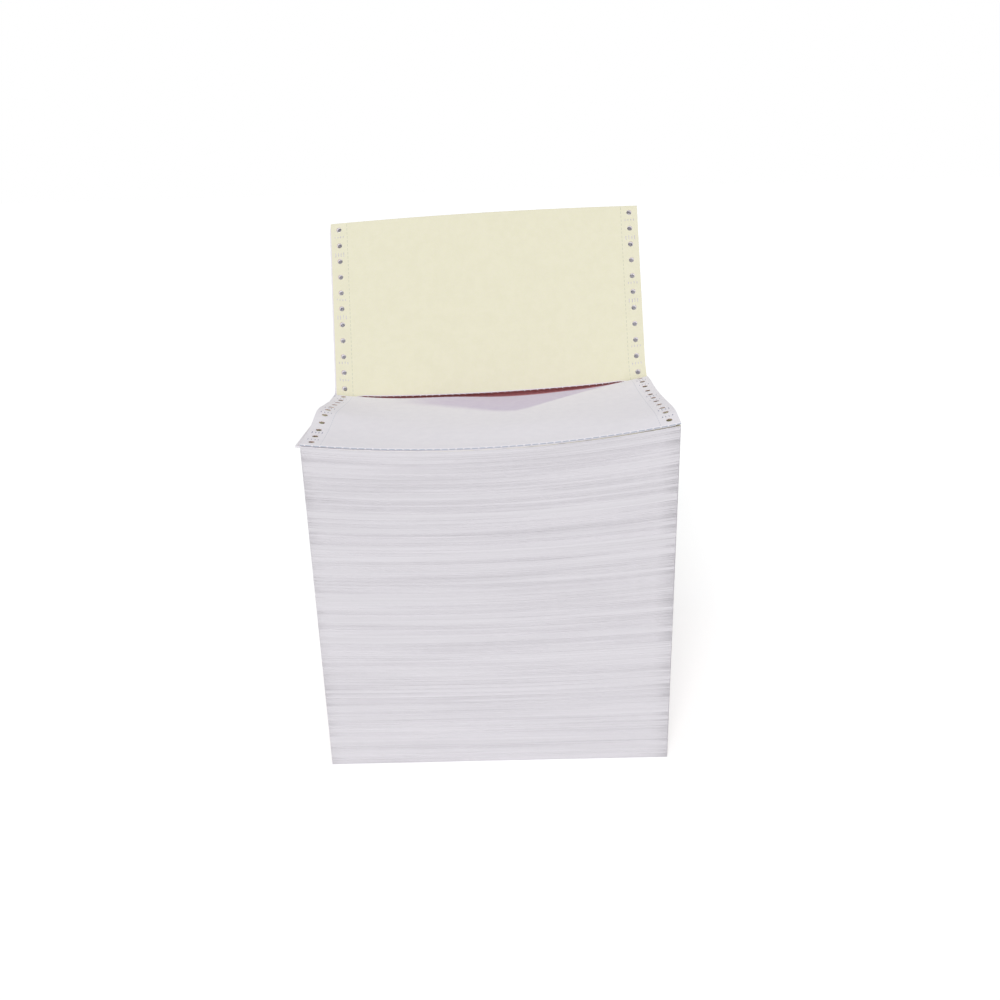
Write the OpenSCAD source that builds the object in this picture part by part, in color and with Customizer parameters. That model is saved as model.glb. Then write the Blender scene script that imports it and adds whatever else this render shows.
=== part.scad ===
/* [Form] */
// Width of the form over both punched margins
form_w = 241.3; // [180:0.1:380]
// Length of a page from fold to fold, which is the depth of the pile
page_l = 279.4; // [200:0.1:360]
// Thickness of one ply
ply_t = 0.1; // [0.08:0.01:0.14]
// Air between two plies of the same set
ply_gap = 0.1; // [0.08:0.01:0.2]
// Air between two sets that lie on each other
set_gap = 0.2; // [0.15:0.01:0.4]

/* [Punched margins] */
// Diameter of a sprocket hole
hole_d = 3.97; // [3:0.01:5]
// Distance between sprocket holes; the first one is half of it from the middle of the page
hole_pitch = 12.7; // [10:0.1:16]
// Distance from the centre of a sprocket hole to the side of the form
hole_edge = 6.35; // [4:0.05:9]

/* [Pile] */
// Height of the pile at its left and right sides, as a mean of the two
pile_h = 241.7; // [120:0.1:320]
// How far the top of the pile sags between its thick crimped margins
dish_depth = 8.7; // [6:0.1:12]
// How much higher the right side of the pile is than the left
side_rise = 7.9; // [0:0.1:10]
// Number of fold ridges up the front and up the back, each a bundle of pages
ridges = 64; // [24:1:80]
// Depth of the groove between two ridges
ridge_depth = 0.9; // [0.3:0.1:1.5]
// How far some ridges stand back from the others
ridge_wander = 0.5; // [0:0.1:1]
// Air between the pile and the loose sets on it
seat_gap = 0.3; // [0.2:0.05:0.5]

/* [Raised half page] */
// Angle at which it leans back from upright
lean = 25.3; // [10:0.1:35]
// How far its top fold bows up in the middle
top_bow = 1.8; // [0:0.1:4]
// Radius of the soft fold along its top
top_fold_r = 1.2; // [0.8:0.1:2]
// Radius of the bend at its foot
foot_r = 1.5; // [1:0.1:2.5]
// Distance along the pile from its foot to the foot of the half page behind it
foot_spread = 10; // [8:0.5:16]
// How far that half page bows back, because it is longer than the way down to its foot
back_bow = 9; // [4:0.5:14]
// Distance from the sides of the form to the ends of the burst perforation at its foot
burst_in = 17.6; // [15:0.1:40]
// How far the burst edge hangs in its middle
burst_sag = 3; // [1:0.1:4]

/* [Loose front sheet] */
// Distance from its torn edge to the foot of the raised half page
torn_gap = 2.5; // [2.5:0.1:6]
// Height of the swell in its left side
swell_left = 5.5; // [0:0.1:8]
// Place of that swell, as a share of the way from the torn edge to the front fold
swell_left_at = 0.55; // [0.3:0.01:0.7]
// Height of the swell in its right side
swell_right = 4; // [0:0.1:8]
// Place of that swell, as a share of the way from the torn edge to the front fold
swell_right_at = 0.8; // [0.5:0.01:0.85]

/* [Hidden] */

white_colour = [0.93, 0.92, 0.94];
pink_colour = [0.93, 0.66, 0.72];
yellow_colour = [0.94, 0.92, 0.80];

// Segments across the form, along the front sheet, down the half page behind, round a fold
// and round a bend
cols = 8;
sheet_steps = 9;
back_steps = 6;
fold_steps = 4;
bend_steps = 3;
// Turn of the formula that sets some ridges back, in degrees for each ridge
wander_turn = 137.5;
// Sides of a drill before it is taken as a true cylinder, and its length through one half page
drill_sides = 32;
drill_l = 3;
// How far a drill or a cut runs past what it cuts
run_out = 5;

half_w = form_w / 2;
panel_l = page_l / 2;
ply_step = ply_t + ply_gap;
set_t = 3 * ply_t + 2 * ply_gap;
set_step = set_t + set_gap;
side_slope = side_rise / form_w;
roll = atan(side_slope);
holes = floor(panel_l / hole_pitch + 0.01);
valley_y = panel_l - ridge_wander - ridge_depth;

function unit(v) = v / norm(v);
function mix(a, b, t) = a + (b - a) * t;
function polar(r, a) = [r * cos(a), r * sin(a)];
function across(i) = mix(-half_w, half_w, i / cols);

// Height of the top of the pile, which sags below a straight and sloping chord
function bow(x) = 1 - pow(x / half_w, 2);
function dish(x) = pile_h + side_slope * x - dish_depth * bow(x);

// Heights of the middle ply of the three sets that lie on the front half of the pile
function lower_z(x) = dish(x) + seat_gap + set_t / 2;
function middle_z(x) = lower_z(x) + set_step;
function upper_z(x) = middle_z(x) + set_step;

// Height of the foot of the raised half page where its margins stand on the pile
function foot_z(x) = pile_h + side_slope * x + seat_gap + set_t / 2 + set_step;

// How far the front sheet swells up at its sides, t being the share of the way to the fold
function swell(t, at) = pow(sin(180 * pow(t, ln(0.5) / ln(at))), 2);
function lift(x, t) =
    pow(x / half_w, 2) * (x < 0 ? swell_left * swell(t, swell_left_at)
                                : swell_right * swell(t, swell_right_at));

// Points round the corner k on the way from a to b, at a radius r
function rounded(a, k, b, r) =
    let (
        u = unit(a - k),
        w = unit(b - k),
        half = acos(u * w) / 2,
        c = k + unit(u + w) * r / sin(half),
        p = k + u * r / tan(half) - c,
        q = k + w * r / tan(half) - c,
        from = atan2(p[1], p[0]),
        turn = (atan2(q[1], q[0]) - from + 540) % 360 - 180
    )
    [for (i = [0 : bend_steps]) c + polar(r, from + turn * i / bend_steps)];

// Foot and tip of the raised half page at a place x across the form, and its way up
function foot(x) = [0, middle_z(x)];
function tip(x) = [panel_l * sin(lean), foot_z(x) + panel_l * cos(lean) + top_bow * bow(x)];
function upward(x) = unit(tip(x) - foot(x));
function backward(x) = [upward(x)[1], -upward(x)[0]] * top_fold_r;

// Middle of the round top fold at a place x, the foot of the half page behind it, and that half
// page itself, t being the share of the way down it
function top_middle(x) = tip(x) - upward(x) * (top_fold_r + set_t / 2) + backward(x);
function heel(x) = [foot_spread, lower_z(x)];
function behind(x, t) =
    let (
        a = top_middle(x) + backward(x),
        down = unit(heel(x) - a)
    )
    mix(a, heel(x), t) + [-down[1], down[0]] * back_bow * 4 * t * (1 - t);

// The way of the middle ply through its folds, as points across them, one side of the form
// to the other: front sheet, front fold, sheet below it, raised half page, top fold, half page
// behind it, and the lowest sheet, which runs forward again to the front of the pile
function way(x) =
    let (
        fold_r = set_step / 2,
        fold = [-(panel_l - fold_r - set_t / 2), middle_z(x) + fold_r],
        up = upward(x),
        back = backward(x),
        top = top_middle(x),
        end = [-valley_y, lower_z(x)]
    )
    concat(
        [for (i = [0 : sheet_steps - 1])
            let (t = i / sheet_steps)
            [mix(-torn_gap, fold[0], t), upper_z(x) + lift(x, t)]],
        [for (i = [0 : fold_steps]) fold + polar(fold_r, 90 + 180 * i / fold_steps)],
        rounded([fold[0], middle_z(x)], foot(x), top - back, foot_r),
        [for (i = [0 : fold_steps])
            let (a = 180 * i / fold_steps)
            top + up * top_fold_r * sin(a) - back * cos(a)],
        [for (i = [1 : back_steps - 1]) behind(x, i / back_steps)],
        rounded(behind(x, 1 - 1 / back_steps), heel(x), end, foot_r + set_step),
        [end]
    );

// The part of that way which is open where a ply has burst along its perforation
function burst_way(x) =
    let (
        opening = max((dish_depth - burst_sag) * bow(x), foot_r) / upward(x)[1],
        edge = foot(x) + upward(x) * opening
    )
    concat(rounded([-torn_gap, middle_z(x)], foot(x), edge, foot_r), [edge]);

// A way moved sideways by d, to the outside of the front fold
function normal(a, b) = let (u = unit(b - a)) [u[1], -u[0]];
function beside(path, d) =
    let (last = len(path) - 1)
    [for (i = [0 : last])
        let (
            m = normal(path[max(i - 1, 0)], path[max(i, 1)]),
            n = normal(path[min(i, last - 1)], path[min(i + 1, last)])
        )
        path[i] + d * (m + n) / (1 + m * n)];

// A way set in space at a place x. What is raised tilts with the slope of the pile
function placed(x, path) =
    [for (p = path) [x - max(0, p[1] - foot_z(x)) * side_slope, p[0], p[1]]];

// A solid between two grids of points that have the same rows and columns
module between(near, far) {
    m = len(near);
    n = len(near[0]);
    points = concat([for (c = near) each c], [for (c = far) each c]);
    function a(i, j) = i * n + j;
    function b(i, j) = (m + i) * n + j;
    function quad(p, q, r, s) = [[p, r, q], [p, s, r]];
    near_side = [for (i = [0 : m - 2], j = [0 : n - 2])
        each quad(a(i, j), a(i, j + 1), a(i + 1, j + 1), a(i + 1, j))];
    far_side = [for (i = [0 : m - 2], j = [0 : n - 2])
        each quad(b(i, j), b(i + 1, j), b(i + 1, j + 1), b(i, j + 1))];
    left = [for (j = [0 : n - 2]) each quad(a(0, j), b(0, j), b(0, j + 1), a(0, j + 1))];
    right = [for (j = [0 : n - 2])
        each quad(a(m - 1, j), a(m - 1, j + 1), b(m - 1, j + 1), b(m - 1, j))];
    start = [for (i = [0 : m - 2]) each quad(a(i, 0), a(i + 1, 0), b(i + 1, 0), b(i, 0))];
    end = [for (i = [0 : m - 2])
        each quad(a(i, n - 1), b(i, n - 1), b(i + 1, n - 1), a(i + 1, n - 1))];
    polyhedron(points, concat(near_side, far_side, left, right, start, end));
}

// A sheet along the ways of its columns, between two distances beside them
module sheet(places, ways, low, high) {
    function face(d) = [for (i = [0 : len(places) - 1]) placed(places[i], beside(ways[i], d))];
    between(face(high), face(low));
}

// What is given, at every sprocket hole of a half page that lies flat behind the plane y = 0
module at_holes() {
    for (side = [-1, 1], k = [0 : holes - 1])
        translate([side * (half_w - hole_edge), (k + 0.5) * hole_pitch, 0])
            children();
}

// Upright drills through all that lies over the back half of the pile
module upright_drills() {
    translate([0, 0, -run_out])
        at_holes()
            cylinder(d = hole_d, h = pile_h + side_rise + 4 * run_out, $fn = drill_sides);
}

// Drills square to the raised half page
module raised_drills() {
    translate([0, 0, foot_z(0)])
        rotate([90 - lean, -roll, 0])
            at_holes()
                cylinder(d = hole_d, h = drill_l, center = true, $fn = drill_sides);
}

// Drills square to the half page behind it, each as far from the top fold as its counterpart
module back_drills() {
    fold_l = PI * top_fold_r / 2;
    for (x = [hole_edge - half_w, half_w - hole_edge], k = [0 : holes - 1]) {
        t = ((k + 0.5) * hole_pitch - fold_l) / (panel_l - fold_l);
        p = behind(x, t);
        n = normal(behind(x, t - 0.01), behind(x, t + 0.01));
        translate([x - (p[1] - foot_z(x)) * side_slope, p[0], p[1]])
            rotate([0, -roll, 0])
                rotate([atan2(-n[0], n[1]), 0, 0])
                    cylinder(d = hole_d, h = drill_l, center = true, $fn = drill_sides);
    }
}

// One ply of the loose sets without its holes, at its number of steps outside the middle one
module ply(place) {
    places = [for (i = [0 : cols]) across(i)];
    sheet(places, [for (x = places) way(x)], place * ply_step - ply_t / 2, place * ply_step + ply_t / 2);
}

// The sprocket holes of the loose sets, cut in what is given
module punched() {
    difference() {
        children();
        mirror([0, 1, 0]) upright_drills();
        raised_drills();
        back_drills();
    }
}

// The opening where a ply has burst at the foot of the raised half page
module burst(place) {
    open_w = half_w - burst_in;
    places = [for (i = [0 : cols]) mix(-open_w, open_w, i / cols)];
    sheet(places, [for (x = places) burst_way(x)], place * ply_step - set_t, place * ply_step + set_t);
}

module folded_stack() {
    function crest_y(j) = panel_l - ridge_wander * (1 + sin(j * wander_turn)) / 2;
    function ridge_y(j) = j % 2 == 1 ? crest_y(j) : valley_y;
    rows = 2 * ridges;
    function face(side) = [for (i = [0 : cols])
        [for (j = [0 : rows]) [across(i), side * ridge_y(j), dish(across(i)) * j / rows]]];
    color(white_colour)
    difference() {
        between(face(1), face(-1));
        upright_drills();
        mirror([0, 1, 0]) upright_drills();
    }
}

module white_ply() {
    color(white_colour) punched() ply(1);
}

module pink_ply() {
    color(pink_colour) punched() ply(0);
}

module yellow_ply() {
    color(yellow_colour)
    punched()
    difference() {
        ply(-1);
        burst(-1);
    }
}

folded_stack();
white_ply();
pink_ply();
yellow_ply();
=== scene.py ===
# %% [markdown]
# # A pile of fan-folded continuous form paper
# The object is one long strip of paper in three plies: white, pink and pale yellow. It is folded
# to and fro into a pile, and its free end stands up on top, so that the yellow ply shows.
# The CAD model gives the frame, the sizes and plain solids. This lesson dresses it: each ply is
# made as a flat strip first, as a paper mill makes it, and is then folded into its place.

# %% Setting up
import math

import bmesh
import bpy
import numpy as np
from mathutils import Matrix, Vector


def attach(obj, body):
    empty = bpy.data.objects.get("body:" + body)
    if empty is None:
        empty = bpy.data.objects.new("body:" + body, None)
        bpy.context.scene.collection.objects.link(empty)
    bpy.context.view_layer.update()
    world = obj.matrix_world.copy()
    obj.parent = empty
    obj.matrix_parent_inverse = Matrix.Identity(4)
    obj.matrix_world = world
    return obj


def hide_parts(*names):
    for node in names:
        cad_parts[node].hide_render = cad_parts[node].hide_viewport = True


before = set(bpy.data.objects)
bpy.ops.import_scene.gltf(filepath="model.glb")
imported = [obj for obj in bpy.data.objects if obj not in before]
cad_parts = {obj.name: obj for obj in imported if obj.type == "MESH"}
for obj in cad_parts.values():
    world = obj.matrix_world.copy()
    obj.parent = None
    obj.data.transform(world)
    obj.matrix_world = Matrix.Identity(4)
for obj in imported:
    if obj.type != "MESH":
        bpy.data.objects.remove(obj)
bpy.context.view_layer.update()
MM = 0.001


def add_object(name, data):
    """A new object with the given data, in the scene."""
    thing = bpy.data.objects.new(name, data)
    bpy.context.collection.objects.link(thing)
    return thing


# %% [markdown]
# ## The camera
# The photograph was taken from in front, a little above the top of the pile. Its camera was
# worked out from the sprocket holes of the raised half page, which are a half inch apart. Two
# directions and a place say it all: what the camera looks along, and what is upright in it.

# %% Camera
LOOKS_ALONG = Vector((-0.00766, 0.94333, -0.33176))
UPRIGHT = Vector((0.02441, 0.33185, 0.94302))
STANDS_AT = Vector((9.9, -693.4, 393.9)) * MM
camera_data = bpy.data.cameras.new("camera")
camera_data.sensor_width = 36.0
camera_data.lens = 32.64
camera_data.clip_start = 0.01
camera = add_object("camera", camera_data)
sideways = LOOKS_ALONG.cross(UPRIGHT).normalized()
upwards = sideways.cross(LOOKS_ALONG).normalized()
turned = Matrix((sideways, upwards, -LOOKS_ALONG.normalized())).transposed().to_4x4()
camera.matrix_world = Matrix.Translation(STANDS_AT) @ turned
bpy.context.scene.camera = camera
print("camera at", [round(v, 3) for v in camera.location], "lens", camera_data.lens)

# %% [markdown]
# ## Sizes of the form
# The main sizes are those of the CAD model, in millimetres. Only the burst slit ends 4.2 mm
# further out than in its solid, and the swells and small rounds are this lesson's own. The form
# is 9.5 inches wide and folded every 11 inches, with a cross perforation every 5.5 inches. So the
# strip is a row of panels of 139.7 mm, and each ply of the free end is five panels long.

# %% Sizes
# The form: its width, its half page and the pitch of its holes; the holes and the margin.
WIDTH, PANEL, PITCH = 241.3, 139.7, 12.7
HALF = WIDTH / 2
HOLE_R, HOLE_IN, STRIP = 1.985, 6.35, 12.7
# Half pages in the free end, which of them is the raised one, counted from 0, and holes in each.
PANELS, RAISED, CELLS = 5, 2, 11
# A ply, from ply to ply, from the underside of a set of plies to its middle, and from set to set.
PLY_T, PLY_STEP, SET_MIDDLE, SET_STEP = 0.1, 0.2, 0.25, 0.7
# The pile: its height, the sag between its margins, its rise to the right, and the air on it.
PILE_H, SAG, RISE, SEAT = 241.7, 8.7, 7.9, 0.3
SLOPE = RISE / WIDTH
# The raised half page: how far it leans back and bows, and the rounds at its top and foot. The
# last is the round of the front fold.
LEAN = math.radians(25.3)
TOP_BOW, TOP_R, FOOT_R, FOLD_R = 1.8, 1.2, 1.5, 0.35
# The half page behind it: where it meets the pile, how far it bulges, and the rounds below it.
HEEL_Y, BACK_BOW, HEEL_R, UNDER_R = 10.0, 9.0, 2.2, 0.26
# How far in the burst perforation ends, and the sag its edge keeps; what is torn off the strip's
# first edge; and how far the half page behind slips sideways.
BURST_IN, BURST_SAG, TORN, SLIP = 13.4, 3.0, 2.5, 3.2
# Stations along the strip: the front fold, the foot and the top of the raised half page, the
# heel behind it from its middle on, the last fold, and the end.
FRONT, FOOT, TOP, HEEL, HEEL_END, LAST, END = (
    PANEL, RAISED * PANEL, (RAISED + 1) * PANEL, 555.0, 563.0, 697.0, PANELS * PANEL)
# Half of the way round the foot and round the top fold; how far the last fold stays in from the
# front and where its sheet leaves the heel; and what is too near to tell apart.
FOOT_TURN, TOP_TURN, LAST_IN, HEEL_FRONT, NEAR = 0.95, 1.885, 1.2, -4.2, 1e-3


def bow(x):
    return 1 - (np.asarray(x, float) / HALF) ** 2


def dish(x):
    return PILE_H + SLOPE * np.asarray(x, float) - SAG * bow(x)


def smooth(t):
    t = np.clip(t, 0, 1)
    return t * t * (3 - 2 * t)


def between(s, first, last, rise, fall):
    """Rises from 0 to 1 past the first place, and falls to 0 again before the last."""
    return smooth((s - first) / rise) * smooth((last - s) / fall)


def waves(seed, count, lo, hi):
    """A smooth, random and repeatable unevenness of two directions, about 1 high."""
    r = np.random.default_rng(seed)
    terms = [
        (r.uniform(lo, hi), r.uniform(0, math.pi), r.uniform(0, 2 * math.pi), r.uniform(0.5, 1))
        for _ in range(count)
    ]

    def at(p, q):
        total = 0
        for length, turn, phase, size in terms:
            k = 2 * math.pi / length
            total = total + size * np.sin(k * (p * math.cos(turn) + q * math.sin(turn)) + phase)
        return total / math.sqrt(count)

    return at


print("the pile sags from", PILE_H, "to", round(float(dish(0)), 1), "mm in its middle")

# %% [markdown]
# ## The way of the strip
# A folded sheet could be modelled panel by panel, but then its holes and perforations would
# have to be lined up by hand round each fold. Here the fold is a map instead: it takes a place
# on the flat strip, u across and s along it, to a place in space. The way is worked out at a
# row of columns across the form and read between them. The free end runs forward as the white
# sheet in front, folds under, comes back, stands up, folds over its top perforation, comes down
# behind itself, and runs forward again to the front of the pile.

# %% Shape of the loose front sheet
LEFT_RISE = np.array([
    (0, 0.8), (8, 0.6), (24, 1.0), (37, 2.8), (50, 4.2), (66, 6.4), (76, 6.7), (84, 5.6),
    (92, 3.9), (105, 1.6), (120, 0.4), (139.7, 0)])
RIGHT_RISE = np.array([
    (0, 1.2), (9, 2.0), (20, 1.8), (33, 0.5), (45, 0.1), (61, 0.7), (80, 1.8), (96, 2.9),
    (112, 4.0), (122, 3.8), (132, 1.8), (139.7, 0)])
EDGE_DIP = np.array([
    (-121, 0), (-95, 0.2), (-70, 1.3), (-36, 2.4), (0, 3.0), (30, 3.2), (55, 2.4), (75, 1.2),
    (91, 0.2), (121, 0)])
CREASE = np.array([
    (-121, 12), (-95, 16), (-60, 26), (-20, 44), (5, 58), (20, 60), (55, 30), (75, 13),
    (91, 3), (121, 3)])
# Swells along the torn edge: how high, where across, how wide, and how far they reach back.
EDGE_SWELLS = [(2.3, -32, 34, 22), (-0.9, 84, 20, 18)]
front_waves = waves(11, 5, 45, 120)


def ease(table, t):
    return np.interp(t, table[:, 0], table[:, 1])


def front_height(x, s):
    """Height of the front sheet above where it would lie in the dish of the pile."""
    side = (abs(x) / HALF) ** 2.6 * (ease(LEFT_RISE, s) if x < 0 else ease(RIGHT_RISE, s))
    reach = ease(CREASE, x)
    to_crease = np.clip(1 - (s - TORN) / reach, 0, 1) ** 1.35
    raised = ease(EDGE_DIP, x) * (1 - to_crease) * smooth((FRONT - s) / 45)
    lifted = sum(high * math.exp(-((x - at) / wide) ** 2) * np.exp(-s / reach)
                 for high, at, wide, reach in EDGE_SWELLS)
    uneven = 0.25 * front_waves(x, s) * smooth((FRONT - s) / 30) * smooth(s / 15)
    return np.maximum(side + raised + lifted + uneven, -0.1)


print("the front sheet swells up to", LEFT_RISE[:, 1].max(), "mm on its left")


# %% The way, one column at a time
WAY_START, SHEET_STEPS, BEHIND_STEPS, BEND_STEPS, ARC_STEPS = 1.0, 160, 60, 8, 12
HALF_BEND = BEND_STEPS // 2


def corner(a, k, b, r, steps=BEND_STEPS):
    """Points round the corner k on the way from a to b."""
    u, w = (a - k) / np.linalg.norm(a - k), (b - k) / np.linalg.norm(b - k)
    half = math.acos(float(u @ w)) / 2
    c = k + (u + w) / np.linalg.norm(u + w) * r / math.sin(half)
    p, q = k + u * r / math.tan(half) - c, k + w * r / math.tan(half) - c
    start = math.atan2(p[1], p[0])
    turn = (math.atan2(q[1], q[0]) - start + 3 * math.pi) % (2 * math.pi) - math.pi
    angles = start + turn * np.linspace(0, 1, steps + 1)
    return c + r * np.stack([np.cos(angles), np.sin(angles)], 1)


def arc(c, r, a, b, steps=ARC_STEPS):
    """Points on the round about c, from a to b in degrees."""
    angles = np.radians(np.linspace(a, b, steps + 1))
    return np.asarray(c) + r * np.stack([np.cos(angles), np.sin(angles)], 1)


def along(points, stations, marks):
    """Points at the given stations, where marks ties some stations to points of the way."""
    run = np.r_[0, np.cumsum(np.linalg.norm(np.diff(points, axis=0), axis=1))]
    at = np.interp(stations, [m[0] for m in marks], [run[m[1]] for m in marks])
    return np.stack([np.interp(at, run, points[:, 0]), np.interp(at, run, points[:, 1])], 1)


def foot_height(x):
    """Height of the foot of the raised half page in its margins, where it doesn't sag."""
    return PILE_H + SLOPE * x + SEAT + SET_MIDDLE + SET_STEP


def heights(x):
    """Heights of the three sets that lie on each other in front, from below."""
    lower = float(dish(x)) + SEAT + SET_MIDDLE
    return lower, lower + SET_STEP, lower + 2 * SET_STEP


def front_way(x, stations, torn_short=0.0):
    """The front sheet, the front fold and the sheet below it, up to the foot."""
    _, middle, upper = heights(x)
    fold_y = -(PANEL - FOLD_R - SET_MIDDLE)
    s = np.linspace(WAY_START, -fold_y, SHEET_STEPS)
    sheet = np.stack([-s, upper + front_height(x, s)], 1)
    turn = arc((fold_y, middle + FOLD_R), FOLD_R, 90, 270)
    base = np.array([0, middle])
    up = np.array([math.sin(LEAN), math.cos(LEAN)])
    bend = corner(np.array([fold_y, middle]), base, base + up * 20, FOOT_R)[:HALF_BEND + 1]
    n = len(sheet)
    m = n + len(turn) - 1
    marks = [(WAY_START, 0), (-fold_y, n - 1), (FRONT, n + len(turn) // 2 - 1),
             (FOOT + fold_y, m - 1), (FOOT - FOOT_TURN, m), (FOOT, m + HALF_BEND)]
    if torn_short:
        bend = [[-torn_short, middle]]
        marks = marks[:4] + [(FOOT, m)]
    return along(np.concatenate([sheet, turn[1:], bend]), stations, marks)


def back_way(x, stations, opening=0.0):
    """The raised half page, the top fold, the half page behind it and the lowest sheet."""
    lower, middle, _ = heights(x)
    base = np.array([0.0, middle])
    tip = np.array([PANEL * math.sin(LEAN),
                    foot_height(x) + PANEL * math.cos(LEAN) + TOP_BOW * float(bow(x))])
    up = (tip - base) / np.linalg.norm(tip - base)
    back = np.array([up[1], -up[0]]) * TOP_R
    top = tip - up * (TOP_R + SET_MIDDLE) + back
    if opening:
        bend = np.array([base + up * opening / up[1]])
    else:
        bend = corner(np.array([-20.0, middle]), base, top - back, FOOT_R)[HALF_BEND:]
    loop = np.array([top + up * TOP_R * math.sin(a) - back * math.cos(a)
                     for a in np.linspace(0, math.pi, ARC_STEPS + 1)])
    heel = np.array([HEEL_Y, lower])
    down = (heel - loop[-1]) / np.linalg.norm(heel - loop[-1])
    t = np.linspace(0, 1, BEHIND_STEPS + 1)[1:-3, None]
    bulge = np.array([-down[1], down[0]]) * BACK_BOW * 4 * t * (1 - t)
    behind = loop[-1] * (1 - t) + heel * t + bulge
    last = np.array([-PANEL + LAST_IN, lower])
    turn = corner(behind[-1], heel, last, HEEL_R)
    under = arc((last[0], lower - UNDER_R), UNDER_R, 90, 270, 6)
    points = np.concatenate([
        bend, loop, behind, turn, [[HEEL_FRONT, lower]], under, [under[-1] + (0.8, 0)]])
    a = len(bend)
    b = a + len(loop) + len(behind)
    c = b + len(turn) + 1
    marks = [(FOOT, 0), (FOOT + FOOT_TURN, a - 1), (TOP - TOP_TURN, a), (TOP, a + len(loop) // 2),
             (TOP + TOP_TURN, a + len(loop) - 1), (HEEL, b + len(turn) // 2), (HEEL_END, c - 1),
             (LAST, c), (LAST + math.pi * UNDER_R, c + len(under) - 1), (END, c + len(under))]
    if opening:
        marks = marks[:1] + marks[2:]
    return along(points, stations, marks)


tip_height = foot_height(0) + PANEL * math.cos(LEAN) + TOP_BOW
print("the raised half page's tip is at", round(tip_height, 1), "mm")

# %% [markdown]
# ## Each ply's own way
# The plies are crimped together only in their margins, so between these they part a little.
# The yellow ply has burst along its perforation at the foot of the raised half page, and the
# pink and white plies sag backwards there, which makes the dark slot that the photograph shows.
# The tables below hold each ply's way and its normals, so that folding is only a look-up.

# %% Stations and columns of the tables
FINE = np.array([0, 0.15, 0.3, 0.45, 0.6, 0.8, 1.05, 1.35, 1.75, 2.3, 2.8, 3.4])


def hole_cuts(start):
    """Stations that part the hole cells of a half page, without the fine rows by its folds."""
    inner = [start + k * PITCH for k in range(1, CELLS)]
    return [start + FINE[-1]] + inner + [start + PANEL - FINE[-1]]


def panel_stations(start):
    cuts = hole_cuts(start)
    rows = [np.linspace(a, b, 5)[:-1] for a, b in zip(cuts, cuts[1:])]
    return np.concatenate([start + FINE[:-1]] + rows + [start + PANEL - FINE[::-1]])


STATIONS = np.unique(np.round(np.concatenate(
    [panel_stations(k * PANEL) for k in range(PANELS)]), 4))
SLIT_END = HALF - BURST_IN
COLUMNS = np.unique(np.r_[np.linspace(-HALF, -HALF + STRIP, 4),
                          np.linspace(-SLIT_END, SLIT_END, 31),
                          np.linspace(HALF - STRIP, HALF, 4)])
PLIES = {"white": 1, "pink": 0, "yellow": -1}
# How the plies of the raised half page lie, each for itself: how far its left and its right side
# are off to the right; how far it has slid along the strip, behind the top fold; and how far its
# holes are punched off their line, to the right at its left and at its right side, and along.
DRIFT = {"white": (-1.1, -0.1), "pink": (0.1, 0.0), "yellow": (0.0, 0.0)}
SLIDE = {"white": 2.4, "pink": 1.6, "yellow": 0.8}
PUNCH = {"white": (1.6, -0.2, -0.75), "pink": (0.0, 0.0, 0.0), "yellow": (0.0, 0.0, 0.0)}
# The yellow ply's lower burst edge ends this far before the foot, and the other plies sag back
# there by this much at the most.
BURST_GAP, BELLY = 1.2, {"pink": 6.6, "white": 7.2}
print(len(STATIONS), "stations and", len(COLUMNS), "columns")


# %% Tables of each ply
page_waves, back_waves = waves(5, 6, 60, 190), waves(8, 6, 50, 150)


def way_of(ply, x, part):
    """The way of one ply at one column, as y and z at every station."""
    burst = ply == "yellow" and abs(x) < SLIT_END - 0.01
    deep = float(bow(x))
    if part == "front":
        points = front_way(x, STATIONS, BURST_GAP if burst else 0.0)
    else:
        opening = 0.0
        if burst:
            opening = max((SAG - BURST_SAG) * deep - 1.5 * deep ** 0.8, FOOT_R)
            opening *= float(smooth((SLIT_END - abs(x)) / 6 + 0.3))
        points = back_way(x, STATIONS, opening)
    if ply in BELLY:
        belly = BELLY[ply] * float(np.clip(1.25 * bow(x) - 0.2, 0, 1)) ** 0.8
        below, above = smooth(1 - (FOOT - STATIONS) / 30), smooth(1 - (STATIONS - FOOT) / 70)
        points[:, 0] += belly * np.where(STATIONS < FOOT, below, above)
    return points


def normals(points):
    d = np.gradient(points, axis=0)
    d /= np.maximum(np.linalg.norm(d, axis=1, keepdims=True), 1e-9)
    return np.stack([d[:, 1], -d[:, 0]], 1)


TABLES, SIDE_STEP = {}, 3.4
for ply in PLIES:
    for part in ("front", "back"):
        keep = STATIONS <= FOOT + 0.001 if part == "front" else STATIONS >= FOOT - 0.001
        ways = [way_of(ply, x, part)[keep] for x in COLUMNS]
        TABLES[ply, part] = STATIONS[keep], np.stack(ways), np.stack([normals(w) for w in ways])


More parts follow.
